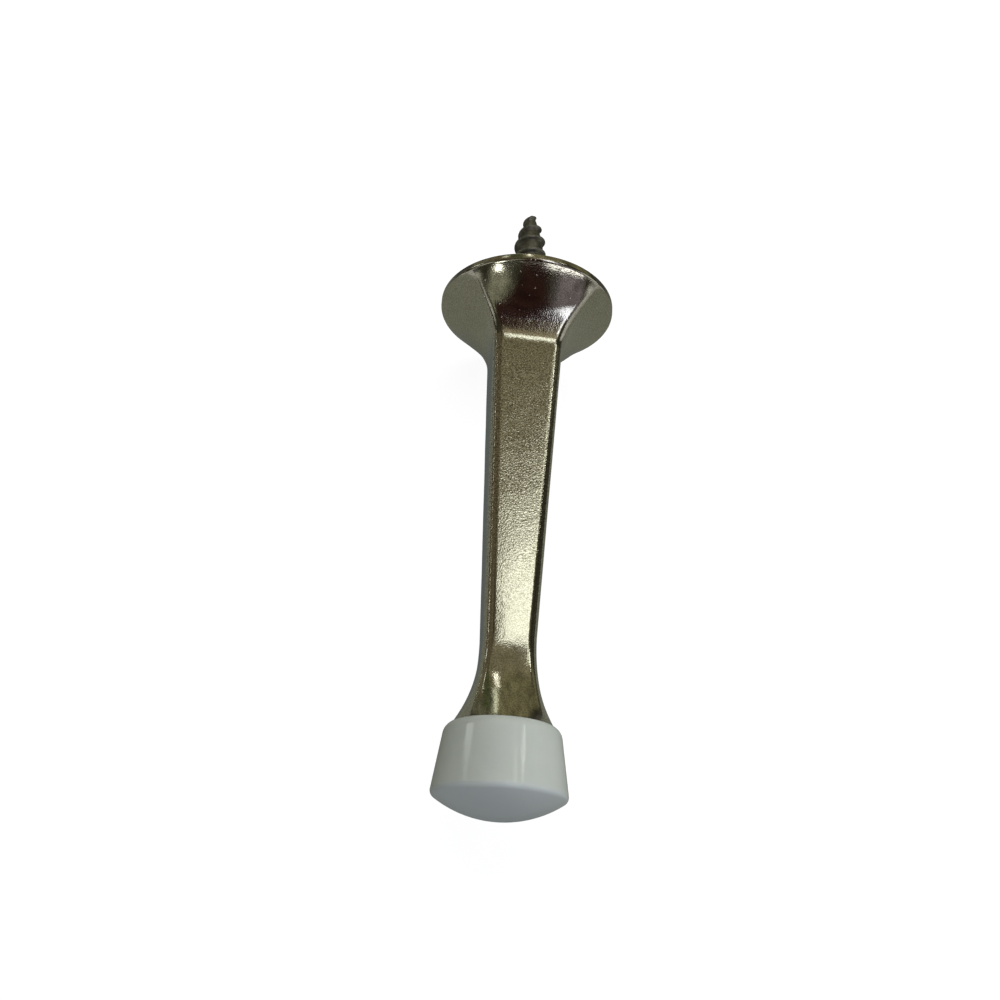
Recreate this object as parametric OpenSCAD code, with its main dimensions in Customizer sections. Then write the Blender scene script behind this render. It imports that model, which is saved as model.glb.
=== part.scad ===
// Rigid screw-in door stop: a plated die-cast post, a hanger screw and a push-on bumper cap.
// Origin: centre of the base's back plane, on the screw's axis.
// +Y runs into the wall along the screw, the post runs to -Y, and +Z is up.
// Every piece is drawn standing on its base along +Z, and as_mounted() lays it down.

/* [Overall] */
// Height of the stop from the base's back plane to the cap's nose
stop_length = 76.2; // [72:0.1:90]

/* [Base] */
// Diameter of the round base
base_d = 26.2; // [24:0.1:32]
// Thickness of the base's rim
rim_t = 1.1; // [0.8:0.1:1.4]
// Rounding of the rim's front edge
rim_edge_r = 0.35; // [0.2:0.05:0.7]
// Height at which the base's flare runs out into the square post
flare_h = 9.3; // [8:0.1:12]
// How steeply the middle of each flare face dishes out
face_power = 2.3; // [1.8:0.1:3]
// How steeply the four flare ridges dish out
ridge_power = 1.5; // [1.2:0.05:2]
// Straight share of the flare, which leaves a fold line where it meets the post
fold_share = 0.07; // [0:0.01:0.2]

/* [Post] */
// Width across the post's flats, just above the base
post_w = 10.2; // [9.6:0.1:11]
// Width across the post's flats, just under the neck
neck_w = 7.1; // [6.6:0.1:8]
// Radius of the post's long edges
edge_r = 1.4; // [0.5:0.1:1.5]
// Height at which the neck starts to flare
neck_h = 53.4; // [48:0.1:54]
// Diameter of the casting where it enters the cap
seat_d = 13.6; // [13:0.1:14]
// How steeply the neck flares
neck_power = 2.4; // [2:0.1:3]

/* [Head inside the cap] */
// Diameter of the groove that holds the cap's lip
groove_d = 11.0; // [9:0.1:11.4]
// Width of the groove
groove_w = 1.6; // [1.2:0.1:1.8]
// Diameter of the mushroom head
head_d = 13.0; // [12.6:0.1:13.2]
// Thickness of the mushroom head
head_t = 2.2; // [1.8:0.1:2.4]

/* [Cored back] */
// Diameter of the hollow in the base's back
core_d = 21.8; // [20:0.1:22]
// Depth of that hollow
core_depth = 4.6; // [3:0.1:5]
// Diameter of the boss in the middle of the hollow
boss_d = 8.6; // [8:0.1:9]
// Distance from the base's back plane to the boss's face
boss_sink = 0.4; // [0.2:0.1:1]

/* [Hanger screw] */
// Length of the wood screw outside the base
screw_out = 18.1; // [16:0.1:25]
// Diameter over the wood thread
wood_d = 5.1; // [4.8:0.1:5.2]
// Diameter of the wood screw's root and of its plain shank
root_d = 4.0; // [3.6:0.1:4]
// Distance from one turn of the wood thread to the next
wood_pitch = 2.5; // [2.2:0.1:2.8]
// Length of the gimlet point
point_l = 6.0; // [5.5:0.1:8]
// Angle round the screw at which the wood thread starts
wood_phase = 353; // [0:1:359]
// Length of the machine thread inside the boss
machine_l = 9.0; // [7.5:0.5:11]
// Diameter over the machine thread
machine_d = 4.8; // [4.6:0.1:5]
// Distance from one turn of the machine thread to the next
machine_pitch = 1.06; // [1:0.01:1.2]

/* [Bumper cap] */
// Height at which the cap's back plane lies
cap_h = 64.6; // [64.4:0.1:65]
// Diameter of the cap's side at its back plane, before rounding
cap_back_d = 14.8; // [14.6:0.1:15.4]
// Diameter of the cap's side at its front edge, before rounding
cap_front_d = 17.3; // [16.4:0.1:20]
// Height of the domed nose above that edge
nose_h = 2.8; // [1.5:0.1:4]
// Rounding of the cap's back edge
cap_back_r = 1.6; // [1:0.1:1.7]
// Rounding of the cap's front edge
cap_front_r = 0.8; // [0.4:0.1:1.4]

/* [Hidden] */

// Colours, as red, green and blue
PLATE = [0.66, 0.65, 0.60];
STEEL = [0.27, 0.25, 0.22];
VINYL = [0.86, 0.87, 0.84];

ROUND = 96;     // sides of a round shape that mates with another piece
JOIN = 0.4;     // how far the skinned part of the casting runs into its turned parts
CLEAR = 0.02;   // gap between the cap and the head, which the soft cap closes
SWELL = 0.001;  // smallest bulge of a flat side, so that its arc has a centre

// Casting
SIDE_STEPS = 6;                       // section points from a face's middle to its edge
EDGE_BIAS = 1.7;                      // crowds the section's points towards the rounded edges
FLARE_STEPS = 12;
NECK_STEPS = 10;
base_r = base_d / 2;
STEP_IN = 0.05;                       // small step where two solids of the casting meet
foot_h = rim_t - STEP_IN;             // the flare's foot lies just under the rim's front
face_r = base_r - rim_edge_r - 2 * STEP_IN;
post_r = post_w / 2;
neck_r = neck_w / 2;
seat_r = seat_d / 2;
neck_end_r = seat_r - STEP_IN;
seat_h = cap_h + 0.5;                 // the neck's flare ends just inside the cap
groove_h = seat_h + 0.4;              // a short collar stands between the flare and the groove
head_h = groove_h + groove_w;
head_top = head_h + head_t;
head_edge = 0.5;                      // chamfer of the head's front edge

// Cored back
core_slope = 2.6;                     // how much the hollow's wall leans in over its depth
tap_r = machine_d / 2 - 0.3;          // radius of the tapped hole between its threads
machine_top = boss_sink + machine_l;
tap_end = machine_top + 1.2;          // the drill runs on past the screw's end
drill_tip = tap_r / tan(59);          // a 118 degree drill point

// Hanger screw
THREAD_STEPS = 16;                    // rings in one turn of a thread
root_r = root_d / 2;
wood_start = 3;                       // the shank is plain this far past the base
wood_half_w = 0.55;                   // half of the wood thread's width at its root
wood_rings = floor((screw_out - wood_half_w - wood_start) / wood_pitch * THREAD_STEPS);
tip_r = 0.25;
machine_half_w = 0.38;
machine_turns = (machine_l - 2 * machine_pitch) / machine_pitch;
machine_rings = floor(machine_turns * THREAD_STEPS);
machine_core_r = tap_r - 0.05;

// Cap. Its side leans out, and meets the domed nose at side_front before that edge is rounded.
side_back = [cap_back_d / 2, cap_h];
side_front = [cap_front_d / 2, stop_length - nose_h];
side_dir = (side_front - side_back) / norm(side_front - side_back);
side_lean = atan2(side_dir[0], side_dir[1]);
inward = [-side_dir[1], side_dir[0]];
dome_r = (side_front[0] * side_front[0] + nose_h * nose_h) / (2 * nose_h);
dome_mid = [0, stop_length - dome_r];
// Centres of the two rounded edges: one touches the back plane and the side, the other the side and the dome
back_mid = [side_back[0] + cap_back_r * (tan(side_lean) - 1 / cos(side_lean)), cap_h + cap_back_r];
front_off = side_front + inward * cap_front_r - dome_mid;
front_along = front_off * side_dir;
front_mid = dome_mid + front_off + side_dir * (sqrt(
    front_along * front_along - front_off * front_off + pow(dome_r - cap_front_r, 2)) - front_along);
dome_turn = atan2(front_mid[1] - dome_mid[1], front_mid[0]);   // where the dome starts, from the cap's plane
EDGE_STEPS = 8;
DOME_STEPS = 16;
lip_r = groove_d / 2 + CLEAR;
lip_lo = groove_h + CLEAR;
lip_hi = head_h - CLEAR;
cup_r = head_d / 2 + CLEAR;
mouth_r = seat_r + CLEAR;

// ---- helpers ----

// Points of an arc in (radius, height) from one angle to another.
function arc(mid, r, from, to, steps) = [
    for (k = [0:steps])
        let (turn = from + (to - from) * k / steps)
        mid + r * [cos(turn), sin(turn)]
];

// Lays a piece that stands on its base along +Z down, so that it runs to -Y.
module as_mounted() {
    rotate([90, 0, 0]) children();
}

// ---- sections of the casting ----

// Polar radius of a four-sided outline at an angle from a face's middle (0 to 45 degrees).
// Each side is an arc that passes mid away from the centre at its middle and meets the next
// side at (corner, corner); the meeting is rounded by edge.
function outline_r(mid, corner, edge, angle) =
    let (w = max(mid, corner + SWELL),
         back = max((2 * corner * corner - w * w) / (2 * (w - corner)), 0),
         arc = w + back,
         er = min(edge, w * 0.99),
         reach = -back / sqrt(2) + sqrt(max((arc - er) * (arc - er) - back * back / 2, 0)),
         touch_x = -back + arc / (arc - er) * (reach / sqrt(2) + back),
         touch_y = arc / (arc - er) * reach / sqrt(2),
         to_edge = 45 - angle,
         on_side = -back * cos(angle) + sqrt(arc * arc - pow(back * sin(angle), 2)),
         on_edge = reach * cos(to_edge)
                   + sqrt(max(er * er - pow(reach * sin(to_edge), 2), 0)))
    angle < atan2(touch_y, touch_x) ? on_side : on_edge;

// Angles from a face's middle at which the outline has its points.
function side_angle(i) = 45 * (1 - pow(1 - i / SIDE_STEPS, EDGE_BIAS));

// One closed ring of points at height h.
function ring(mid, corner, edge, h) = [
    for (face = [0:3], i = [-SIDE_STEPS:SIDE_STEPS - 1])
        let (angle = side_angle(abs(i)),
             turn = face * 90 + sign(i) * angle,
             r = outline_r(mid, corner, edge, angle))
        [r * cos(turn), r * sin(turn), h]
];

// Skins a stack of rings that all have the same number of points, and closes both ends.
module skin(rings) {
    count = len(rings[0]);
    last = len(rings) - 1;
    polyhedron(
        points = [for (one = rings) each one],
        faces = concat(
            [[for (i = [0:count - 1]) i]],
            [for (k = [0:last - 1], i = [0:count - 1])
                let (j = (i + 1) % count, a = k * count, b = a + count)
                [a + j, a + i, b + i, b + j]],
            [[for (i = [count - 1:-1:0]) last * count + i]]));
}

// Rise of the flare from the post (t = 0) to the rim (t = 1).
function flare_rise(t, power) = (1 - fold_share) * pow(t, power) + fold_share * t;

// Base flare, post and neck as rings from the rim to just inside the cap.
function post_rings() = concat(
    [ring(face_r, face_r / sqrt(2), edge_r, foot_h - JOIN)],
    [for (k = [FLARE_STEPS:-1:0])
        let (t = k / FLARE_STEPS)
        ring(post_r + (face_r - post_r) * flare_rise(t, face_power),
             post_r + (face_r / sqrt(2) - post_r) * flare_rise(t, ridge_power),
             edge_r, flare_h + (foot_h - flare_h) * t)],
    [for (k = [0:NECK_STEPS])
        let (t = k / NECK_STEPS, rise = pow(t, neck_power))
        ring(neck_r + (neck_end_r - neck_r) * rise,
             neck_r + (neck_end_r / sqrt(2) - neck_r) * rise,
             edge_r, neck_h + (seat_h - neck_h) * t)],
    [ring(neck_end_r, neck_end_r / sqrt(2), edge_r, seat_h + JOIN / 2)]);

// ---- threads ----

// Radius of the wood screw's root at a distance from the base.
function wood_root(d) =
    let (left = screw_out - d)
    left > point_l ? root_r : tip_r + (root_r - tip_r) * pow(max(left, 0) / point_l, 0.8);

// Height of the wood thread above the root: it fades in at the shank and again at the very point.
function wood_tooth(d) =
    let (full = (wood_d - root_d) / 2,
         fade_in = min(1, (d - wood_start) / wood_pitch),
         fade_out = min(1, 0.5 + (screw_out - d) / wood_pitch))
    full * max(fade_in, 0.05) * fade_out;

// Height of the machine thread above its root, fading at both ends.
function machine_tooth(turn) =
    let (full = machine_d / 2 - machine_core_r)
    full * max(min(1, turn, machine_turns - turn), 0.05);

// Sweeps a tooth up a right-hand helix. Each row of path is [turn, height, root, tooth],
// and half_w is half of the tooth's width at its root.
module thread(path, half_w) {
    sink = 0.15;                      // the tooth's root runs this far into the core
    crest_share = 0.15;               // width of the crest as a share of the root's
    rings = [for (p = path)
        let (a = 360 * p[0], c = cos(a), s = sin(a), low = max(p[2] - sink, 0.05), high = p[2] + p[3])
        [[low * c, low * s, p[1] - half_w],
         [low * c, low * s, p[1] + half_w],
         [high * c, high * s, p[1] + half_w * crest_share],
         [high * c, high * s, p[1] - half_w * crest_share]]];
    skin(rings);
}

// ---- pieces ----

// Plated zinc casting: base, square post, neck and the mushroom head inside the cap.
module cast_post() {
    color(PLATE) as_mounted() difference() {
        union() {
            rim();
            skin(post_rings());
            head();
        }
        cored_back();
        tapped_hole();
    }
}

// Thin round rim with a rounded front edge.
module rim() {
    rotate_extrude($fn = ROUND)
        polygon(concat(
            [[0, 0], [base_r, 0]],
            arc([base_r - rim_edge_r, rim_t - rim_edge_r], rim_edge_r, 0, 90, EDGE_STEPS),
            [[0, rim_t]]));
}

// Collar, groove and mushroom head.
module head() {
    rotate_extrude($fn = ROUND)
        polygon([[0, seat_h], [seat_r, seat_h], [seat_r, groove_h], [groove_d / 2, groove_h],
                 [groove_d / 2, head_h], [head_d / 2, head_h], [head_d / 2, head_top - head_edge],
                 [head_d / 2 - head_edge, head_top], [0, head_top]]);
}

// Hollow behind the base, around the boss.
module cored_back() {
    rotate_extrude($fn = ROUND)
        polygon([[core_d / 2, -1], [core_d / 2, 0.01], [core_d / 2 - core_slope, core_depth * 0.45],
                 [boss_d / 2 + 1.2, core_depth], [boss_d / 2 + 0.4, core_depth],
                 [boss_d / 2, core_depth - 0.8], [boss_d / 2, boss_sink], [0, boss_sink], [0, -1]]);
}

// Tapped hole in the boss, drawn at its core diameter, with the drill's point at its end.
module tapped_hole() {
    translate([0, 0, -1]) cylinder(r = tap_r, h = tap_end + 1, $fn = ROUND);
    translate([0, 0, tap_end]) cylinder(r1 = tap_r, r2 = 0.01, h = drill_tip, $fn = ROUND);
}

// Steel hanger screw: machine thread in the boss, plain shank, wood thread and gimlet point.
module hanger_screw() {
    color(STEEL) as_mounted() {
        union() {
            screw_core();
            wood_thread();
            machine_thread();
        }
    }
}

// Core of the screw as one turned shape; the wood end runs to -Z, which is into the wall.
module screw_core() {
    point = [for (k = [0:8])
        let (d = screw_out - point_l * (1 - k / 8))
        [wood_root(d), -d]];
    rotate_extrude($fn = ROUND)
        polygon(concat(
            [[0, machine_top], [machine_core_r - 0.4, machine_top],
             [machine_core_r, machine_top - 0.4], [machine_core_r, boss_sink + 0.2],
             [root_r, boss_sink - 0.1]],
            point,
            [[0, -screw_out]]));
}

// Wood thread, running from the point up to the plain shank.
module wood_thread() {
    rotate([0, 0, wood_phase])
        thread([for (k = [wood_rings:-1:0])
            let (turn = k / THREAD_STEPS, d = wood_start + turn * wood_pitch)
            [-turn, -d, wood_root(d), wood_tooth(d)]], wood_half_w);
}

// Machine thread, which fills the tapped hole's thread.
module machine_thread() {
    thread([for (k = [0:machine_rings])
        let (turn = k / THREAD_STEPS)
        [turn, boss_sink + machine_pitch * (1 + turn), machine_core_r, machine_tooth(turn)]], machine_half_w);
}

// White bumper cap: a domed cup with a lip that snaps into the head's groove.
module bumper_cap() {
    color(VINYL) as_mounted() difference() {
        cap_outside();
        cap_inside();
    }
}

// Solid outer shape of the cap.
module cap_outside() {
    rotate_extrude($fn = ROUND)
        polygon(concat(
            [[0, cap_h]],
            arc(back_mid, cap_back_r, -90, -side_lean, EDGE_STEPS),
            arc(front_mid, cap_front_r, -side_lean, dome_turn, EDGE_STEPS),
            arc(dome_mid, dome_r, dome_turn + (90 - dome_turn) / DOME_STEPS, 90, DOME_STEPS - 1)));
}

// Hollow of the cap: mouth, lip and the pocket for the mushroom head.
module cap_inside() {
    rotate_extrude($fn = ROUND)
        polygon([[0, cap_h - 1], [mouth_r, cap_h - 1], [mouth_r, lip_lo], [lip_r, lip_lo],
                 [lip_r, lip_hi], [cup_r, lip_hi], [cup_r, head_top + CLEAR], [0, head_top + CLEAR]]);
}

cast_post();
hanger_screw();
bumper_cap();
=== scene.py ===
"""Looks of a rigid screw-in door stop: plated casting, steel hanger screw and white bumper cap.

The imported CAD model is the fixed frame. Lengths in this script are in millimetres until a mesh is made.
A piece is worked out standing on its base, with heights h along the post's axis and angles round it;
laid() then puts height along -Y and angle 90 degrees up, as the CAD model lies.
"""

import math

import bpy
import numpy as np
from mathutils import Matrix, Vector, noise

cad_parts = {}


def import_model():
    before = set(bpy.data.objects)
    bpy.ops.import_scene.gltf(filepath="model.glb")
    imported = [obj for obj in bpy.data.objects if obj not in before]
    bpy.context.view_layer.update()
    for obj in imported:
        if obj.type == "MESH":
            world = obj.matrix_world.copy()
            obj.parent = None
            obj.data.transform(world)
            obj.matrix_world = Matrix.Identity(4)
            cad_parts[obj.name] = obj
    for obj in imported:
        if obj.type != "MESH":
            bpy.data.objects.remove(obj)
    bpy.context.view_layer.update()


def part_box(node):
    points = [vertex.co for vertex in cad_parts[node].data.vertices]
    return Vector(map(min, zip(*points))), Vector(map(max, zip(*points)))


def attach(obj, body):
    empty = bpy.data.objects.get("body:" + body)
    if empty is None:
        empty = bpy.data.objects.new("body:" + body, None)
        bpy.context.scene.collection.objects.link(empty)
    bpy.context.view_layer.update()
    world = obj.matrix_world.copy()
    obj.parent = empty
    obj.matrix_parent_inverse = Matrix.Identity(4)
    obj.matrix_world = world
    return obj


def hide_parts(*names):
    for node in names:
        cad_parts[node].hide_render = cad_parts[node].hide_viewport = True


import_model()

MM = 0.001
FULL_TURN = 2 * math.pi


# ---------------------------------------------------------------- sizes from the frame

def size_of(node):
    """Widest radius, lowest height and highest height of a CAD node, in millimetres."""
    low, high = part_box(node)
    return high.x / MM, -high.y / MM, -low.y / MM


BASE_R, _, HEAD_TOP = size_of("cast_post")
_, _, STOP_LENGTH = size_of("bumper_cap")
THREAD_R, SCREW_TIP, MACHINE_TOP = size_of("hanger_screw")
SCREW_OUT = -SCREW_TIP

# ---------------------------------------------------------------- sizes of the details

RIM_T = 1.1          # thickness of the base's rim
RIM_EDGE_R = 0.35    # rounding of its front edge
RIM_LEAN = math.radians(30)  # the flare meets that rounding at this angle from the base's plane
FLARE_H = 9.3        # height where the flare runs out into the square post
FACE_POWER = 2.3     # how late the flare rises, along the middle of a face
RIDGE_POWER = 1.5    # and along an edge
FOLD_SHARE = 0.07    # straight part of that rise, which folds the flare's end
FOLD_ROUND = 0.65    # half of the length over which the fold at the flare's end is rounded
FOLD_REACH = 1.0     # that rounding dies out this far from the fold
POST_R = 5.1         # half of the width across flats, above the base
NECK_R = 3.55        # the same under the neck
NECK_H = 53.4        # height where the neck starts to flare
NECK_POWER = 2.4     # how late the neck's flare rises
EDGE_R = 1.4         # radius of the post's long edges
CROWN = 0.08         # how far the middle of a flat stands proud, under the neck
UNEVEN = 0.022       # height of the casting's soft unevenness
UNEVEN_ROUND = 1.1   # how fast that changes round the post, and along it
UNEVEN_ALONG = 0.16
SEAM_HALF_W = 0.09   # half of the parting line's width
SEAM_LOW = 0.04      # its height between lumps,
SEAM_LUMP = 0.05     # what a lump adds,
SEAM_FLARE = 0.06    # and what it gains on the flare
SEAM_SWAY = 0.08     # how far it wanders off the edge
SEAM_FULL = 0.05     # height at which its looks are in full force
EDGE_TURN = math.radians(9)  # the long edges wear this far round from their middle
SEAT_R = 6.8         # radius of the casting where it enters the cap
CAP_H = 64.6         # height of the cap's back plane
SEAT_H = CAP_H + 0.5
GROOVE_H = SEAT_H + 0.4
GROOVE_R = 5.5
GROOVE_W = 1.6
HEAD_R = 6.5

CORE_R = 10.9        # hollow in the base's back
CORE_DEPTH = 4.6
BOSS_R = 4.3
BOSS_SINK = 0.4
TAP_END = MACHINE_TOP + 1.2

ROOT_R = 2.0         # root of the wood thread, and the plain shank
WOOD_START = 3.0     # the shank is plain this far past the base
WOOD_PITCH = 2.5
WOOD_PHASE = math.radians(353)
WOOD_ROOT_HALF = 0.62   # half of the tooth's width at its root, and at its crest
WOOD_CREST_HALF = 0.07
WOOD_DENTS = 0.10    # share of the tooth that dents take off
POINT_L = 6.0        # length of the gimlet point
TIP_R = 0.25
MACHINE_PITCH = 1.06
MACHINE_CORE_R = 2.05
MACHINE_R = 2.4
MACHINE_ROOT_HALF = 0.46
MACHINE_CREST_HALF = 0.06
TAP_GAP = 0.01       # air between the machine thread and the tapped hole

SIDE_BACK = np.array([7.4, CAP_H])                # the cap's side, as (radius, height), from its
SIDE_FRONT = np.array([8.65, STOP_LENGTH - 2.8])  # back plane to the domed nose, before rounding
CAP_BACK_ROUND = 1.6
CAP_FRONT_ROUND = 0.8
CAP_GAP = 0.02       # air between the cap and the head

# ---------------------------------------------------------------- fineness of the meshes

SIDE_STEPS = 30      # section points from a face's middle to its edge
EDGE_BIAS = 1.6      # crowds those points towards the rounded edges
FLARE_RINGS = 110
SHAFT_RINGS = 300
NECK_RINGS = 90
FILLET_STEPS = 6
OUTLINE_STEP = 0.6   # furthest that two points of a turned outline lie apart
HOLE_STEP = 0.12     # height between rings in the tapped hole, and on the machine thread
MACHINE_STEP = 0.07
SCREW_SIDES = 96
WOOD_RINGS = 330
CAP_SIDES = 192


# ---------------------------------------------------------------- mesh helpers

def laid(angle, radius, height):
    """Points of a standing piece, given by angle, radius and height, as they lie in the frame."""
    x = radius * np.cos(angle)
    y = radius * np.sin(angle)
    return np.stack(np.broadcast_arrays(x, -height, y), -1) * MM


def rounded(start, corner, end, radius):
    """Points of the fillet that rounds corner on the way from start to end, as (radius, height)."""
    corner = np.array(corner, float)
    a = np.array(start, float) - corner
    b = np.array(end, float) - corner
    a /= np.linalg.norm(a)
    b /= np.linalg.norm(b)
    half = math.acos(np.clip(a @ b, -1, 1)) / 2
    reach = radius / math.tan(half)
    middle = corner + (a + b) / np.linalg.norm(a + b) * radius / math.sin(half)
    p, q = corner + a * reach - middle, corner + b * reach - middle
    turn = math.atan2(p[0] * q[1] - p[1] * q[0], p @ q)
    out = []
    for t in np.arange(FILLET_STEPS + 1) * turn / FILLET_STEPS:
        out.append((middle[0] + p[0] * math.cos(t) - p[1] * math.sin(t),
                    middle[1] + p[0] * math.sin(t) + p[1] * math.cos(t)))
    return out


def arc(middle, radius, start, end, steps=FILLET_STEPS):
    """Points of an arc as (radius, height), between two angles from the base's plane."""
    return [(middle[0] + radius * math.cos(t), middle[1] + radius * math.sin(t))
            for t in np.linspace(start, end, steps + 1)]


def outline(points, step):
    """A (radius, height) outline from corners given as (radius, height, fillet).

    The fillets are drawn, and no two points are further apart than step.
    """
    out = []
    for i, (r, h, fillet) in enumerate(points):
        if fillet and 0 < i < len(points) - 1:
            out += rounded(points[i - 1][:2], (r, h), points[i + 1][:2], fillet)
        else:
            out.append((r, h))
    fine = [out[0]]
    for a, b in zip(out, out[1:]):
        parts = max(1, math.ceil(math.dist(a, b) / step))
        fine += [(a[0] + (b[0] - a[0]) * k / parts, a[1] + (b[1] - a[1]) * k / parts)
                 for k in range(1, parts + 1)]
    return fine


def skin(name, rings):
    """A closed mesh object through rings of points, with a fan to the middle of its first and last ring."""
    rings = np.asarray(rings, float)
    count = rings.shape[1]
    last = len(rings) - 1
    points = list(map(tuple, rings.reshape(-1, 3)))
    faces = []
    for k in range(last):
        for i in range(count):
            j = (i + 1) % count
            a, b = k * count, (k + 1) * count
            faces.append((a + i, a + j, b + j, b + i))
    for ring, flip in ((0, True), (last, False)):
        points.append(tuple(rings[ring].mean(0)))
        centre = len(points) - 1
        for i in range(count):
            a, b = ring * count + i, ring * count + (i + 1) % count
            faces.append((centre, b, a) if flip else (centre, a, b))
    mesh = bpy.data.meshes.new(name)
    mesh.from_pydata(points, [], faces)
    mesh.validate()
    mesh.shade_smooth()
    mesh.update()
    made = bpy.data.objects.new(name, mesh)
    bpy.context.scene.collection.objects.link(made)
    return made


def paint(piece, name, values):
    """Stores one number per point, which a material can read."""
    layer = piece.data.attributes.new(name, "FLOAT", "POINT")
    values = np.asarray(values, np.float32)
    short = len(piece.data.vertices) - len(values)
    layer.data.foreach_set("value", np.concatenate([values, np.zeros(short, np.float32)]))


def smooth_step(x):
    """0 below 0, 1 above 1, and an S-shaped rise between."""
    x = np.clip(x, 0, 1)
    return x * x * (3 - 2 * x)


def wander(seed, x, y=0.0):
    """Soft random wave between about -1 and 1, the same on every run."""
    return noise.noise(Vector((x, y, seed * 17.3)))


# ---------------------------------------------------------------- threads

def tooth(angle, height, pitch, phase, half_root, half_crest):
    """Height of a right-hand thread's tooth, 0 to 1, at an angle and height on the screw."""
    turns = height / pitch - (angle - phase) / FULL_TURN
    off = np.abs(turns - np.round(turns)) * pitch
    return smooth_step((half_root - off) / (half_root - half_crest))


def machine_radius(angle, height):
    """Radius of the machine thread; the tapped hole follows it with a little air."""
    low, high = BOSS_SINK + MACHINE_PITCH, MACHINE_TOP - MACHINE_PITCH
    fade = np.clip(np.minimum(height - low, high - height) / MACHINE_PITCH + 0.5, 0, 1)
    return MACHINE_CORE_R + (MACHINE_R - MACHINE_CORE_R) * fade * tooth(
        angle, height, MACHINE_PITCH, 0, MACHINE_ROOT_HALF, MACHINE_CREST_HALF)


# ---------------------------------------------------------------- casting

def face_angles():
    """Angles round the casting, crowded at its four long edges, and how far each is round its face."""
    half = 1 - (1 - np.arange(SIDE_STEPS + 1) / SIDE_STEPS) ** EDGE_BIAS
    one_side = np.concatenate([-half[:0:-1], half[:-1]]) * math.pi / 4
    turns = np.concatenate([one_side + k * math.pi / 2 for k in range(4)])
    return turns, np.abs(np.tile(one_side, 4))


def section(middle, corner, edge, offset):
    """Radii of a four-sided outline whose sides are arcs and whose corners are rounded.

    Each side passes middle away from the centre and would meet the next at (corner, corner).
    """
    w = max(middle, corner + 0.001)
    back = max((2 * corner ** 2 - w ** 2) / (2 * (w - corner)), 0)
    side_r = w + back
    edge = min(edge, w * 0.99)
    reach = -back / math.sqrt(2) + math.sqrt(max((side_r - edge) ** 2 - back ** 2 / 2, 0))
    share = side_r / (side_r - edge)
    touch = math.atan2(share * reach / math.sqrt(2), -back + share * (reach / math.sqrt(2) + back))
    on_side = -back * np.cos(offset) + np.sqrt(side_r ** 2 - (back * np.sin(offset)) ** 2)
    left = math.pi / 4 - offset
    on_edge = reach * np.cos(left) + np.sqrt(np.maximum(edge ** 2 - (reach * np.sin(left)) ** 2, 0))
    return np.where(offset < touch, on_side, on_edge)


def flare_rise(t, power):
    """Share of the flare's rise at a share t of its height, counted from the post to the rim."""
    return (1 - FOLD_SHARE) * t ** power + FOLD_SHARE * t


FOOT_H = RIM_T - RIM_EDGE_R * (1 - math.cos(RIM_LEAN))


def sharp_size(height):
    """Half-width of a face's middle and of the corner at a height, from the rim to the cap."""
    if height < FLARE_H:
        foot_r = BASE_R - RIM_EDGE_R * (1 - math.sin(RIM_LEAN))
        t = (FLARE_H - height) / (FLARE_H - FOOT_H)
        return (POST_R + (foot_r - POST_R) * flare_rise(t, FACE_POWER),
                POST_R + (foot_r / math.sqrt(2) - POST_R) * flare_rise(t, RIDGE_POWER))
    if height < NECK_H:
        along = (height - FLARE_H) / (NECK_H - FLARE_H)
        w = POST_R + (NECK_R - POST_R) * along
        return w, w - CROWN * along
    rise = ((height - NECK_H) / (SEAT_H - NECK_H)) ** NECK_POWER
    corner = NECK_R - CROWN
    return NECK_R + (SEAT_R - NECK_R) * rise, corner + (SEAT_R / math.sqrt(2) - corner) * rise


def post_size(height):
    """The same, with the fold between the flare and the post rounded over a short way."""
    off = abs(height - FLARE_H) / FOLD_REACH
    if off >= 1:
        return sharp_size(height)
    taps = height + FOLD_ROUND * (1 - off ** 2) * np.linspace(-1, 1, 9)
    return tuple(np.mean([sharp_size(h) for h in taps], axis=0))


def seam_height(angle, height):
    """Height of the parting line's witness, which runs along two opposite edges of the casting."""
    total = 0
    for k, edge in enumerate((3 * math.pi / 4, -math.pi / 4)):
        off = (angle - edge + math.pi) % FULL_TURN - math.pi
        across = off * post_size(height)[1] * math.sqrt(2)
        shift = SEAM_SWAY * wander(k + 3, height * 0.35)
        lump = (SEAM_LOW + SEAM_FLARE * smooth_step((10 - height) / 3)
                + SEAM_LUMP * np.clip(1.9 * wander(k + 5, height * 2.7), 0, 1))
        total = total + lump * np.exp(-((across - shift) / SEAM_HALF_W) ** 2)
    return total


def post_rings(angles, offsets):
    """Flare, square post and neck, with the soft unevenness of a casting and its parting line.

    Also returns how strongly the parting line shows at each point, 0 to 1.
    """
    foot = np.linspace(FOOT_H, FLARE_H, FLARE_RINGS, endpoint=False)
    shaft = np.linspace(FLARE_H, NECK_H, SHAFT_RINGS, endpoint=False)
    neck = np.linspace(NECK_H, SEAT_H, NECK_RINGS)
    rings, seams = [], []
    for h in np.concatenate([foot, shaft, neck]):
        middle, corner = post_size(h)
        radius = section(middle, corner, EDGE_R, offsets)
        wave = np.array([noise.noise(Vector((math.cos(a) * UNEVEN_ROUND, math.sin(a) * UNEVEN_ROUND,
                                             h * UNEVEN_ALONG))) for a in angles])
        fade = smooth_step((h - 1.2) / 2) * smooth_step((SEAT_H - 1 - h) / 2)
        seam = fade * seam_height(angles, h)
        rings.append(laid(angles, radius + fade * UNEVEN * wave + seam, h))
        seams.append(np.clip(seam / SEAM_FULL, 0, 1))
    return rings, seams


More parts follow.
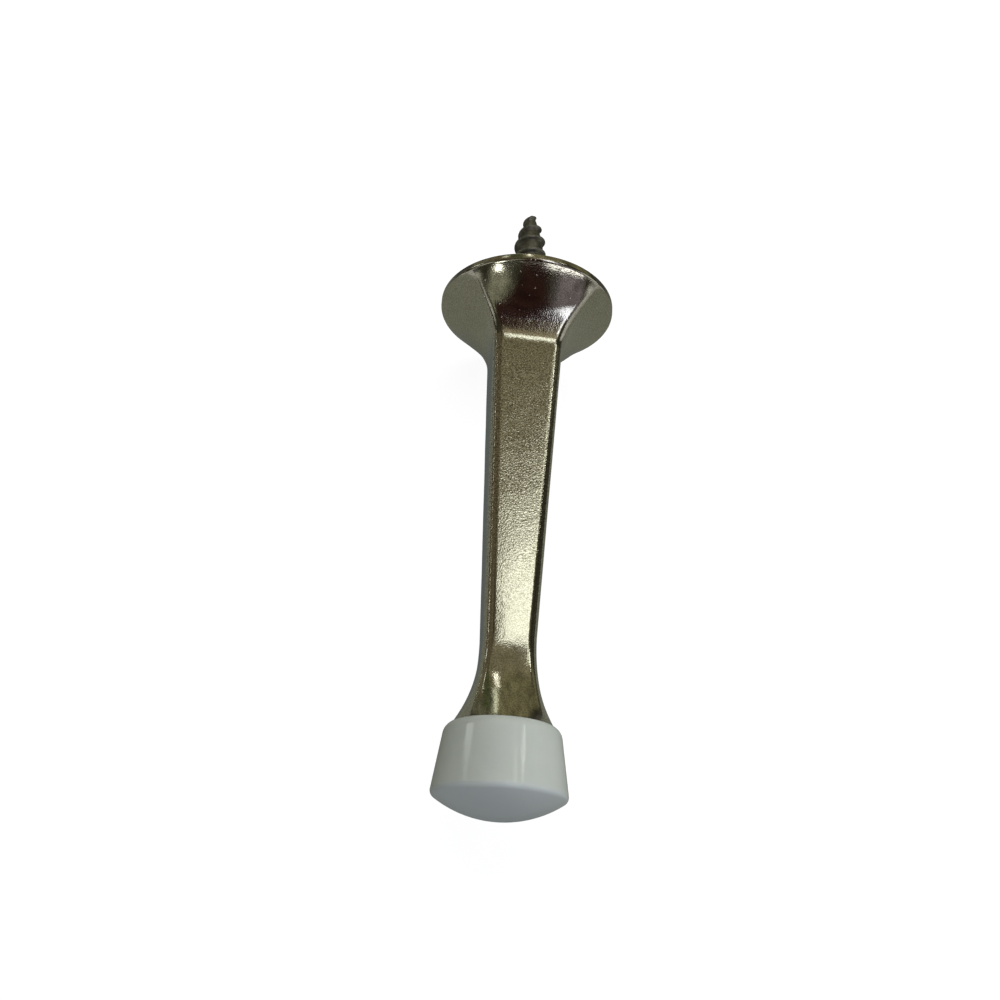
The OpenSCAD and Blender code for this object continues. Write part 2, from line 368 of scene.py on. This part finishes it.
def cast_post():
    """The whole casting as one closed skin.

    It runs up the tapped hole's wall, over the boss and the hollow back, round the rim, along the post and
    over the head.
    """
    angles, offsets = face_angles()
    hole = [laid(angles, machine_radius(angles, h) + TAP_GAP, h)
            for h in np.arange(TAP_END, BOSS_SINK + 0.15, -HOLE_STEP)]
    back = outline([
        (MACHINE_CORE_R + TAP_GAP, BOSS_SINK + 0.1, 0), (MACHINE_CORE_R + 0.2, BOSS_SINK, 0),
        (BOSS_R, BOSS_SINK, 0.35), (BOSS_R, CORE_DEPTH, 0.5), (BOSS_R + 1.2, CORE_DEPTH, 0.5),
        (CORE_R - 2.6, CORE_DEPTH * 0.45, 1.5), (CORE_R, 0, 0.12), (BASE_R, 0, 0.12),
        (BASE_R, RIM_T - RIM_EDGE_R, 0)], 0.5)
    back += arc((BASE_R - RIM_EDGE_R, RIM_T - RIM_EDGE_R), RIM_EDGE_R, 0, math.pi / 2 - RIM_LEAN)[1:-1]
    head = outline([
        (SEAT_R, SEAT_H, 0), (SEAT_R, GROOVE_H, 0.1), (GROOVE_R, GROOVE_H, 0.1),
        (GROOVE_R, GROOVE_H + GROOVE_W, 0.1), (HEAD_R, GROOVE_H + GROOVE_W, 0.1),
        (HEAD_R, HEAD_TOP, 0.5), (0.5, HEAD_TOP, 0)], OUTLINE_STEP)
    turned = [laid(angles, np.full_like(angles, r), h) for r, h in back]
    capped = [laid(angles, np.full_like(angles, r), h) for r, h in head]
    post, seams = post_rings(angles, offsets)
    piece = skin("cast_post_plated", hole + turned + post + capped)
    count = len(angles)
    before, middle, after = len(hole) + len(turned), len(post), len(capped)
    edge = np.clip(1 - (math.pi / 4 - offsets) / EDGE_TURN, 0, 1)
    for name, values in (("edge", np.tile(edge, middle)), ("seam", np.concatenate(seams))):
        paint(piece, name, np.concatenate([np.zeros(before * count), values, np.zeros(after * count)]))
    return piece


# ---------------------------------------------------------------- screw

def wood_root(out):
    """Radius of the wood screw's root at a distance from the base."""
    left = SCREW_OUT - out
    if left > POINT_L:
        return ROOT_R
    return TIP_R + (ROOT_R - TIP_R) * (max(left, 0) / POINT_L) ** 0.8


def wood_radius(angles, out):
    """Radius of the wood screw with its thread, which fades in at the shank."""
    full = THREAD_R - ROOT_R
    fade_in = smooth_step((out - WOOD_START + 0.3) / WOOD_PITCH)
    fade_out = min(1, 0.45 + (SCREW_OUT - out) / WOOD_PITCH)
    dent = 1 - WOOD_DENTS * abs(wander(9, out * 1.7))
    bite = tooth(angles, WOOD_START - out, WOOD_PITCH, WOOD_PHASE, WOOD_ROOT_HALF, WOOD_CREST_HALF)
    return wood_root(out) + full * fade_in * fade_out * dent * bite


def hanger_screw():
    """Machine thread, plain shank and wood thread as one closed skin, from the point upwards."""
    angles = np.arange(SCREW_SIDES) / SCREW_SIDES * FULL_TURN
    rings, crests = [], []
    for out in np.linspace(SCREW_OUT - 0.02, WOOD_START - 1, WOOD_RINGS):
        radius = wood_radius(angles, out)
        rings.append(laid(angles, radius, -out))
        crests.append(smooth_step((radius - wood_root(out)) / (THREAD_R - ROOT_R) * 2.5 - 1.4))
    for h in (-1.2, -0.4, BOSS_SINK - 0.15):
        rings.append(laid(angles, np.full_like(angles, ROOT_R), h))
    for h in np.arange(BOSS_SINK + 0.2, MACHINE_TOP - 0.3, MACHINE_STEP):
        rings.append(laid(angles, machine_radius(angles, h), h))
    for r, h in ((MACHINE_CORE_R - 0.05, MACHINE_TOP - 0.3), (MACHINE_CORE_R - 0.35, MACHINE_TOP)):
        rings.append(laid(angles, np.full_like(angles, r), h))
    piece = skin("hanger_screw_steel", rings)
    paint(piece, "crest", np.concatenate(crests))
    return piece


# ---------------------------------------------------------------- cap

def cap_profile():
    """The cap's closed outline, from the nose's middle over the outside and in along the hollow.

    Both edges are rounded by arcs that touch what they join: the dome, the leaning side, the back plane.
    """
    rise = STOP_LENGTH - SIDE_FRONT[1]
    dome_r = (SIDE_FRONT[0] ** 2 + rise ** 2) / (2 * rise)
    dome_mid = np.array([0, STOP_LENGTH - dome_r])
    along = (SIDE_FRONT - SIDE_BACK) / np.linalg.norm(SIDE_FRONT - SIDE_BACK)
    lean = math.atan2(along[0], along[1])
    inward = np.array([-along[1], along[0]])
    off = SIDE_FRONT + inward * CAP_FRONT_ROUND - dome_mid
    shift = math.sqrt((off @ along) ** 2 - off @ off + (dome_r - CAP_FRONT_ROUND) ** 2) - off @ along
    front_mid = dome_mid + off + along * shift
    dome_turn = math.atan2(*(front_mid - dome_mid)[::-1])
    back_mid = (SIDE_BACK[0] + CAP_BACK_ROUND * (math.tan(lean) - 1 / math.cos(lean)),
                CAP_H + CAP_BACK_ROUND)
    mouth_r = SEAT_R + CAP_GAP
    mouth_turn = -math.acos((mouth_r + 0.06 - back_mid[0]) / CAP_BACK_ROUND)
    outside = (arc(dome_mid, dome_r, math.pi / 2 - 0.02, dome_turn, 40)
               + arc(front_mid, CAP_FRONT_ROUND, dome_turn, -lean, 14)[1:]
               + arc(back_mid, CAP_BACK_ROUND, -lean, mouth_turn, 16))
    edge_h = outside[-1][1]
    hollow = outline([
        (mouth_r, edge_h + 0.06, 0), (mouth_r, GROOVE_H + CAP_GAP, 0.05),
        (GROOVE_R + CAP_GAP, GROOVE_H + CAP_GAP, 0.08),
        (GROOVE_R + CAP_GAP, GROOVE_H + GROOVE_W - CAP_GAP, 0.08),
        (HEAD_R + CAP_GAP, GROOVE_H + GROOVE_W - CAP_GAP, 0.08),
        (HEAD_R + CAP_GAP, HEAD_TOP + CAP_GAP, 0.4), (0.3, HEAD_TOP + CAP_GAP, 0)], OUTLINE_STEP)
    return outside + hollow


def bumper_cap():
    """The cap as one closed turned skin."""
    angles = np.arange(CAP_SIDES) / CAP_SIDES * FULL_TURN
    rings = [laid(angles, np.full_like(angles, r), h) for r, h in cap_profile()[::-1]]
    return skin("bumper_cap_vinyl", rings)


# ---------------------------------------------------------------- material helpers

def node_maker(tree):
    """A function that adds nodes to a tree, as node(kind, inputs, **settings).

    The inputs map the name or number of a socket to the socket that feeds it, or to its own value.
    """
    def node(kind, inputs=(), **settings):
        made = tree.nodes.new("ShaderNode" + kind)
        for key, value in settings.items():
            setattr(made, key, value)
        for name, source in dict(inputs).items():
            if isinstance(source, bpy.types.NodeSocket):
                tree.links.new(source, made.inputs[name])
            else:
                made.inputs[name].default_value = source
        return made

    return node


def new_material(name):
    """A material with a Principled shader; returns the material, its node maker, the shader and a linker."""
    mat = bpy.data.materials.new(name)
    mat.use_nodes = True
    tree = mat.node_tree
    return mat, node_maker(tree), tree.nodes["Principled BSDF"], tree.links.new


def grains(node, where, size_mm, detail=2.0, rough=0.5):
    """Noise whose grains are about size_mm across; where is a coordinate in metres."""
    return node("TexNoise", {"Vector": where, "Scale": 1 / (size_mm * MM), "Detail": detail,
                             "Roughness": rough}).outputs["Fac"]


def stretch(node, value, low, high, to_low=0.0, to_high=1.0):
    """Maps a value from one range to another, clamped."""
    return node("MapRange", {"Value": value, "From Min": low, "From Max": high,
                             "To Min": to_low, "To Max": to_high}).outputs["Result"]


def by_height(node, where, start, end, first, last):
    """A number that goes from first to last between two heights along the post, in millimetres."""
    axial = node("SeparateXYZ", {"Vector": where}).outputs["Y"]
    return stretch(node, axial, -end * MM, -start * MM, last, first)


def math_node(node, operation, *values):
    """The result of a Math node over sockets or numbers."""
    return node("Math", dict(enumerate(values)), operation=operation).outputs[0]


def product(node, first, *others):
    """The product of sockets or numbers."""
    for other in others:
        first = math_node(node, "MULTIPLY", first, other)
    return first


def blend(node, share, first, second):
    """A colour that goes from first to second as share goes from 0 to 1."""
    return node("Mix", {"Factor": share, "A": first, "B": second}, data_type="RGBA").outputs["Result"]


def ramp(node, value, low, high, low_colour, high_colour):
    """A colour that goes from low_colour to high_colour as value goes from low to high."""
    made = node("ValToRGB", {"Fac": value})
    ends = made.color_ramp.elements
    ends[0].position = low
    ends[0].color = low_colour
    ends[1].position = high
    ends[1].color = high_colour
    return made.outputs["Color"]


def raised(node, height, depth_mm):
    """Normals of a surface that stands depth_mm proud where height is 1."""
    return node("Bump", {"Height": height, "Distance": depth_mm * MM, "Strength": 1.0}).outputs["Normal"]


def spots(node, where, apart_mm, rarity, ragged, rag, inner, outer):
    """1 inside scattered spots and 0 outside.

    Spots lie about apart_mm apart, and rarity of them are left out. The noise ragged frays their edge by
    rag, and inner and outer bound that edge, as shares of apart_mm.
    """
    cells = node("TexVoronoi", {"Vector": where, "Scale": 1 / (apart_mm * MM), "Randomness": 1.0})
    far = math_node(node, "MULTIPLY_ADD", ragged, rag, cells.outputs["Distance"])
    pick = node("SeparateColor", {"Color": cells.outputs["Color"]}).outputs[0]
    chosen = math_node(node, "GREATER_THAN", pick, rarity)
    return product(node, stretch(node, far, inner, outer, 1.0, 0.0), chosen)


# ---------------------------------------------------------------- materials

SAND_MM = 0.20       # width of the casting's sandy grains
SCARS_MM = 2.6       # distance between its scars, and between its beads
BEADS_MM = 0.60
SKIN_DEPTH = 0.018   # depth of its skin, in millimetres
PLATE_WARM = (0.62, 0.60, 0.51, 1)
PLATE_PALE = (0.68, 0.66, 0.58, 1)
PLATE_DARK_GRAIN = (0.22, 0.205, 0.15, 1)
PLATE_LIGHT_GRAIN = (0.95, 0.93, 0.84, 1)
SALT_SHIFT = (0.3, 0.2, 0.1)  # moves the grains' colour off the grains' relief

STEEL_DARK = (0.15, 0.145, 0.115, 1)
STEEL_BROWN = (0.33, 0.32, 0.27, 1)
# painted highlight: the colour of the thread's crests
STEEL_CREST_HIGHLIGHT = (0.42, 0.41, 0.36, 1)
STEEL_DEPTH = 0.02

VINYL_GREEN = (0.72, 0.77, 0.71, 1)
VINYL_PALE = (0.76, 0.80, 0.745, 1)
# painted shade: a cooler tint for the shaded nose
VINYL_NOSE_SHADE_TINT = (0.73, 0.775, 0.785, 1)
VINYL_DEPTH = 0.05


def plate_colour(node, where, cloud, neck):
    """The plate's clouded colour, salted with darker and lighter grains."""
    moved = node("VectorMath", {0: where, 1: SALT_SHIFT}, operation="ADD").outputs[0]
    salt = grains(node, moved, SAND_MM, 1.0)
    salted = product(node, neck, by_height(node, where, 7, 11, 0.35, 1.0))
    dark = product(node, stretch(node, salt, 0.34, 0.52, 0.80, 0.0), salted)
    light = product(node, stretch(node, salt, 0.50, 0.68, 0.0, 0.80), salted)
    colour = ramp(node, cloud, 0.3, 0.7, PLATE_WARM, PLATE_PALE)
    return blend(node, light, blend(node, dark, colour, PLATE_DARK_GRAIN), PLATE_LIGHT_GRAIN)


def plate_relief(node, where, neck):
    """Relief of the plate's skin: sandy grains, soft waves, and scars and beads on the upper post."""
    sand = grains(node, where, SAND_MM, 1.0)
    wave = grains(node, where, 1.5)
    fold = by_height(node, where, 10, 11.5, 0.35, 1.0)
    flare = by_height(node, where, 8.0, 8.6, 1.6, 1.0)
    rim = by_height(node, where, 1.5, 4.0, 0.6, 1.0)
    seam = node("Attribute", attribute_name="seam").outputs["Fac"]
    strength = math_node(node, "MULTIPLY_ADD", seam, 1.2, product(node, fold, flare, rim, neck))
    relief = math_node(node, "MULTIPLY_ADD", wave, 0.8, product(node, sand, strength))

    scars = spots(node, where, SCARS_MM, rarity=0.62, ragged=grains(node, where, 0.35), rag=0.20,
                  inner=0.15, outer=0.20)
    beads = spots(node, where, BEADS_MM, rarity=0.86, ragged=sand, rag=0.30, inner=0.16, outer=0.36)
    marks = math_node(node, "MULTIPLY_ADD", scars, -1.3, beads)
    upper = by_height(node, where, 32, 38, 1.0, 0.0)
    return math_node(node, "MULTIPLY_ADD", product(node, marks, upper), 2.0, relief)


def plated_casting():
    """Bright nickel-type plate over a sandy cast skin, which is smoother towards the neck."""
    mat, node, shader, link = new_material("plated_casting")
    where = node("TexCoord").outputs["Object"]
    cloud = grains(node, where, 6.0, 3.0, 0.55)
    neck = by_height(node, where, 35, 52, 1.0, 0.40)
    edge = node("Attribute", attribute_name="edge").outputs["Fac"]
    rough = math_node(node, "MULTIPLY_ADD", edge, 0.06, stretch(node, cloud, 0.3, 0.7, 0.07, 0.12))
    link(plate_colour(node, where, cloud, neck), shader.inputs["Base Color"])
    link(rough, shader.inputs["Roughness"])
    link(raised(node, plate_relief(node, where, neck), SKIN_DEPTH), shader.inputs["Normal"])
    shader.inputs["Metallic"].default_value = 1.0
    return mat


def browned_steel():
    """Dull dark steel with an oily film, paler in patches on the thread's crests as a painted highlight."""
    mat, node, shader, link = new_material("browned_steel")
    where = node("TexCoord").outputs["Object"]
    film = grains(node, where, 1.6, 4.0, 0.6)
    fine = grains(node, where, 0.25, 3.0, 0.6)
    crest = node("Attribute", attribute_name="crest").outputs["Fac"]
    # painted highlight on the thread's crests, in patches
    crest_highlight = product(node, crest, stretch(node, fine, 0.35, 0.6, 0.2, 0.8))
    colour = blend(node, crest_highlight, ramp(node, film, 0.35, 0.7, STEEL_DARK, STEEL_BROWN), STEEL_CREST_HIGHLIGHT)
    link(colour, shader.inputs["Base Color"])
    link(stretch(node, fine, 0.3, 0.7, 0.36, 0.52), shader.inputs["Roughness"])
    link(raised(node, fine, STEEL_DEPTH), shader.inputs["Normal"])
    shader.inputs["Metallic"].default_value = 0.9
    return mat


def white_vinyl():
    """Glossy moulded vinyl, white with a touch of green-grey, with soft flow marks and a duller nose, whose
    cooler tint is painted shade.
    """
    mat, node, shader, link = new_material("white_vinyl")
    where = node("TexCoord").outputs["Object"]
    cloud = grains(node, where, 4.0, 3.0)
    fine = grains(node, where, 0.3)
    nose = by_height(node, where, SIDE_FRONT[1] - 0.8, SIDE_FRONT[1], 0.0, 1.0)
    # the nose's cooler colour is painted shade
    colour = blend(node, nose, ramp(node, cloud, 0.3, 0.7, VINYL_GREEN, VINYL_PALE), VINYL_NOSE_SHADE_TINT)
    rough = math_node(node, "MULTIPLY_ADD", nose, 0.25, stretch(node, cloud, 0.3, 0.7, 0.07, 0.11))
    height = math_node(node, "MULTIPLY_ADD", fine, 0.05, cloud)
    link(colour, shader.inputs["Base Color"])
    link(rough, shader.inputs["Roughness"])
    link(raised(node, height, VINYL_DEPTH), shader.inputs["Normal"])
    shader.inputs["IOR"].default_value = 1.5
    shader.inputs["Subsurface Weight"].default_value = 0.25
    shader.inputs["Subsurface Radius"].default_value = (1.0, 0.9, 0.8)
    shader.inputs["Subsurface Scale"].default_value = 0.6 * MM
    return mat


# ---------------------------------------------------------------- pieces

def dress(piece, material, node):
    """Gives a piece its material, hides the CAD node that it stands for, and rides it on the body."""
    piece.data.materials.append(material)
    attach(piece, "root")
    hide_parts(node)


dress(cast_post(), plated_casting(), "cast_post")
dress(hanger_screw(), browned_steel(), "hanger_screw")
dress(bumper_cap(), white_vinyl(), "bumper_cap")


# ---------------------------------------------------------------- stage

FLOOR_REACH = 3.0    # in metres
FLOOR_DROP = 0.2     # gap under the base's rim, in millimetres

# The floor as the camera sees it and as the plate mirrors it. Each is a glow, the steps in which that
# glow changes, and the share of light that the floor scatters. The mirrored glow is painted light: it
# is darker beside the post as a painted shadow of the post, darker behind the base, and paler far off.
FLOOR_SEEN = (0.935, 0.935, 0.935), [("away", 100, 350, (1, 1, 1))], (0.20, 0.20, 0.20)
FLOOR_MIRRORED = (0.095, 0.107, 0.104), [
    # painted shadow of the post: the mirrored glow is darker within 6 mm beside it
    ("beside", 6, 15, (0.172, 0.176, 0.140)),
    ("away", 120, 240, (0.45, 0.45, 0.42)),
    ("behind", 4, 34, (0.050, 0.048, 0.036))], (0.03, 0.03, 0.03)


def camera_switch(node, seen, reflected):
    """Joins two shaders of a stage tree: seen for the camera, reflected for every other ray."""
    ray = node("LightPath").outputs["Is Camera Ray"]
    return node("MixShader", {"Fac": ray, 1: reflected.outputs[0], 2: seen.outputs[0]}).outputs[0]


def glow_and_shade(node, glow, steps, shade):
    """A surface that takes light and also glows.

    Each step is (measure, start, end, colour): from start to end of that measure, in millimetres, the
    glow turns to that colour. The measures are beside the post, behind the base and away from the origin.
    """
    where = node("TexCoord").outputs["Object"]
    split = node("SeparateXYZ", {"Vector": where}).outputs
    measures = {
        "beside": math_node(node, "ABSOLUTE", split["X"]),
        "behind": split["Y"],
        "away": node("VectorMath", {0: where}, operation="LENGTH").outputs["Value"]}
    colour = (*glow, 1)
    for measure, start, end, turned in steps:
        share = stretch(node, measures[measure], start * MM, end * MM)
        colour = blend(node, share, colour, (*turned, 1))
    bright = node("Emission", {"Color": colour})
    lit = node("BsdfDiffuse", {"Color": (*shade, 1)})
    return node("AddShader", {0: lit.outputs[0], 1: bright.outputs[0]})


def floor():
    """A pale floor that the base's rim rests on; the plate mirrors it darker than the camera sees it, with a
    painted shadow beside the post.
    """
    far, z = FLOOR_REACH, -(BASE_R + FLOOR_DROP) * MM
    mesh = bpy.data.meshes.new("floor")
    mesh.from_pydata([(-far, -far, z), (far, -far, z), (far, far, z), (-far, far, z)], [], [(0, 1, 2, 3)])
    made = bpy.data.objects.new("floor", mesh)
    bpy.context.scene.collection.objects.link(made)
    mat, node, shader, link = new_material("pale_floor")
    nodes = mat.node_tree.nodes
    nodes.remove(shader)
    seen = glow_and_shade(node, *FLOOR_SEEN)
    reflected = glow_and_shade(node, *FLOOR_MIRRORED)
    link(camera_switch(node, seen, reflected), nodes["Material Output"].inputs["Surface"])
    mesh.materials.append(mat)


def towards(azimuth, elevation):
    """Direction at an azimuth from +Y towards +X and an elevation, in degrees."""
    a, e = math.radians(azimuth), math.radians(elevation)
    return Vector((math.sin(a) * math.cos(e), math.cos(a) * math.cos(e), math.sin(e)))


# The room that the plate mirrors, as soft-edged patches. Each row is the direction of a patch's middle,
# half its width and height (tangents), the softness of its sides and of its top and bottom, and its
# radiance. Width runs along +X for a patch overhead and level for the others. A later row covers an
# earlier one.
ROOM = (0.035, 0.033, 0.021)
PATCHES = [
    (towards(-48, 44), 0.46, 0.45, 0.06, 0.12, (0.115, 0.095, 0.058)),      # brown wall, left
    (towards(-35, 12), 0.45, 0.20, 0.10, 0.06, (0.120, 0.118, 0.078)),      # and its foot
    (towards(12, 34), 0.40, 0.62, 0.10, 0.15, (0.160, 0.148, 0.080)),       # olive wall ahead
    (towards(46, 20), 0.22, 0.22, 0.08, 0.06, (0.140, 0.130, 0.072)),       # its right end
    (Vector((0.15, 0.56, 1)), 0.30, 0.20, 0.12, 0.10, (0.200, 0.178, 0.112)),     # its top
    (Vector((0.22, 0.0, 1)), 0.30, 0.24, 0.10, 0.12, (0.320, 0.275, 0.185)),      # brown ceiling
    (Vector((0.182, 0.280, 1)), 0.116, 0.090, 0.012, 0.015, (1.46, 1.49, 1.31)),  # key window
    (Vector((0.33, 0.46, 1)), 0.055, 0.07, 0.020, 0.02, (1.40, 1.42, 1.15)),      # and its corner pane
    (towards(-26, 33), 0.11, 0.36, 0.04, 0.08, (0.070, 0.077, 0.036)),      # dark shelf ahead, left
    (towards(-37, 37), 0.050, 0.04, 0.015, 0.015, (1.0, 1.0, 0.8)),         # lamp ahead, left
    (towards(-7, 44), 0.030, 0.10, 0.020, 0.03, (2.4, 2.4, 2.1)),           # tall strip, its bright end
    (towards(-12, 24), 0.050, 0.22, 0.040, 0.06, (0.80, 0.82, 0.62)),       # and its dim end
    (towards(47.5, 47), 0.034, 0.08, 0.012, 0.02, (3.2, 3.3, 2.9)),         # lamp tube, right
    (towards(-62.5, 14), 0.050, 0.13, 0.020, 0.03, (2.2, 2.3, 2.1)),        # lamp tube, left
    (towards(-74, 23), 0.008, 0.07, 0.005, 0.02, (3.6, 3.6, 3.2)),          # small window, left
    (towards(106, 16), 0.45, 0.24, 0.08, 0.08, (0.50, 0.50, 0.47)),         # pale wall, right
    (towards(-124, 22), 0.24, 0.22, 0.08, 0.08, (0.45, 0.45, 0.40)),        # pale wall, left
    (towards(-161, 30), 0.17, 0.45, 0.08, 0.12, (0.205, 0.205, 0.150)),     # olive wall behind, left
    (towards(-160, 6.5), 0.055, 0.030, 0.015, 0.012, (5.0, 5.1, 4.6)),      # lamp behind, left
    (towards(150, 24), 0.22, 0.50, 0.08, 0.2, (0.168, 0.146, 0.158)),       # grey wall behind, right
    (Vector((0.300, -0.62, 1)), 0.165, 0.27, 0.012, 0.04, (1.40, 1.44, 1.66)),    # cool window behind
    (Vector((0.310, -0.19, 1)), 0.110, 0.15, 0.015, 0.03, (1.65, 1.69, 1.80)),    # and its upper pane
    (towards(176, 40), 0.16, 1.2, 0.035, 0.2, (0.026, 0.011, 0.009)),       # dark clothes behind
    (towards(156, 0.5), 0.25, 0.016, 0.05, 0.010, (3.6, 3.55, 3.6)),        # low window behind, right
]
OVERHEAD = 0.85      # a patch whose direction has a larger Z lies overhead

CLUTTER_SIZE = 0.085     # width of the room's clutter, in radians
CLUTTER_UPRIGHT = 0.35   # that width over its height
CLUTTER_DARK = 0.60      # what it leaves of the radiance where it is darkest, and where it is lightest
CLUTTER_LIGHT = 1.40


def patch_mask(node, direction, middle, half_w, half_h, soft_w, soft_h):
    """A socket that is 1 inside a patch of the room and falls softly to 0 at its sides."""
    middle = middle.normalized()
    across = Vector((1, 0, 0)) if middle.z > OVERHEAD else Vector((middle.y, -middle.x, 0))
    across = (across - middle * across.dot(middle)).normalized()
    along = middle.cross(across)

    def dot(axis):
        return node("VectorMath", {0: direction, 1: axis}, operation="DOT_PRODUCT").outputs["Value"]

    depth = math_node(node, "MAXIMUM", dot(middle), 0.0001)
    sides = []
    for axis, half, soft in ((across, half_w, soft_w), (along, half_h, soft_h)):
        off = math_node(node, "ABSOLUTE", math_node(node, "DIVIDE", dot(axis), depth))
        fall = node("MapRange", {"Value": off, "From Min": half + soft, "From Max": half - soft},
                    interpolation_type="SMOOTHSTEP")
        sides.append(fall.outputs["Result"])
    return product(node, *sides)


def cluttered(node, direction, colour):
    """The room's colour broken up by small lighter and darker things."""
    upright = node("VectorMath", {0: direction, 1: (1, 1, CLUTTER_UPRIGHT)}, operation="MULTIPLY")
    things = node("TexNoise", {"Vector": upright.outputs["Vector"], "Scale": 1 / CLUTTER_SIZE, "Detail": 3})
    level = stretch(node, things.outputs["Fac"], 0.34, 0.66, CLUTTER_DARK, CLUTTER_LIGHT)
    return node("VectorMath", {0: colour, "Scale": level}, operation="SCALE").outputs["Vector"]


def world():
    """The room for reflections, and a pale backdrop for the camera. Diffuse light comes from the lamps."""
    made = bpy.data.worlds.new("studio")
    bpy.context.scene.world = made
    made.use_nodes = True
    made.cycles_visibility.diffuse = False
    tree = made.node_tree
    node = node_maker(tree)
    direction = node("TexCoord").outputs["Generated"]
    colour = (*ROOM, 1)
    for *shape, radiance in PATCHES:
        colour = blend(node, patch_mask(node, direction, *shape), colour, (*radiance, 1))
    room = tree.nodes["Background"]
    tree.links.new(cluttered(node, direction, colour), room.inputs["Color"])
    pale = node("Background", {"Color": (1.0, 1.0, 1.0, 1)})
    tree.links.new(camera_switch(node, pale, room), tree.nodes["World Output"].inputs["Surface"])


def soft_light(name, at, size, radiance, colour=(1, 1, 1)):
    """A rectangular light aimed at the stop that shows in no reflection; lengths in metres."""
    data = bpy.data.lights.new(name, "AREA")
    data.shape = "RECTANGLE"
    data.size, data.size_y = size
    data.color = colour
    data.energy = radiance * math.pi * size[0] * size[1]
    made = bpy.data.objects.new(name, data)
    made.location = at
    made.rotation_mode = "QUATERNION"
    made.rotation_quaternion = (Vector((0, -0.04, 0)) - Vector(at)).to_track_quat("-Z", "Y")
    made.visible_camera = False
    made.visible_glossy = False
    bpy.context.scene.collection.objects.link(made)


def lights():
    """Soft light from above and behind the base, more from the right, and a little from the front."""
    soft_light("top_light", (-0.02, 0.28, 0.50), (0.5, 0.4), 2.6, (1, 1, 0.96))
    soft_light("right_light", (0.45, 0.05, 0.30), (0.3, 0.3), 3.6, (0.94, 0.97, 1.0))
    soft_light("front_light", (-0.05, -0.55, 0.30), (0.4, 0.4), 1.55, (0.90, 0.95, 1.0))


# ---------------------------------------------------------------- camera

CAMERA_AT = Vector((-14.77, -95.14, 129.15)) * MM
CAMERA_AIM = Vector((-3.54, -39.48, 13.50)) * MM
CAMERA_UP = Vector((-0.1054, 0.9000, 0.4229))
LENS = 37.05
SENSOR = 36          # its width, in millimetres like the lens


def camera():
    """Looks down on the stop from over its cap, with the post running up the picture."""
    data = bpy.data.cameras.new("camera")
    data.lens = LENS
    data.sensor_width = SENSOR
    data.clip_start = 0.005
    data.clip_end = 20
    made = bpy.data.objects.new("camera", data)
    back = (CAMERA_AT - CAMERA_AIM).normalized()
    right = CAMERA_UP.cross(back).normalized()
    up = back.cross(right)
    made.matrix_world = Matrix.Translation(CAMERA_AT) @ Matrix((right, up, back)).transposed().to_4x4()
    bpy.context.scene.collection.objects.link(made)
    bpy.context.scene.camera = made


floor()
world()
lights()
camera()
bpy.context.scene.view_settings.view_transform = "Standard"
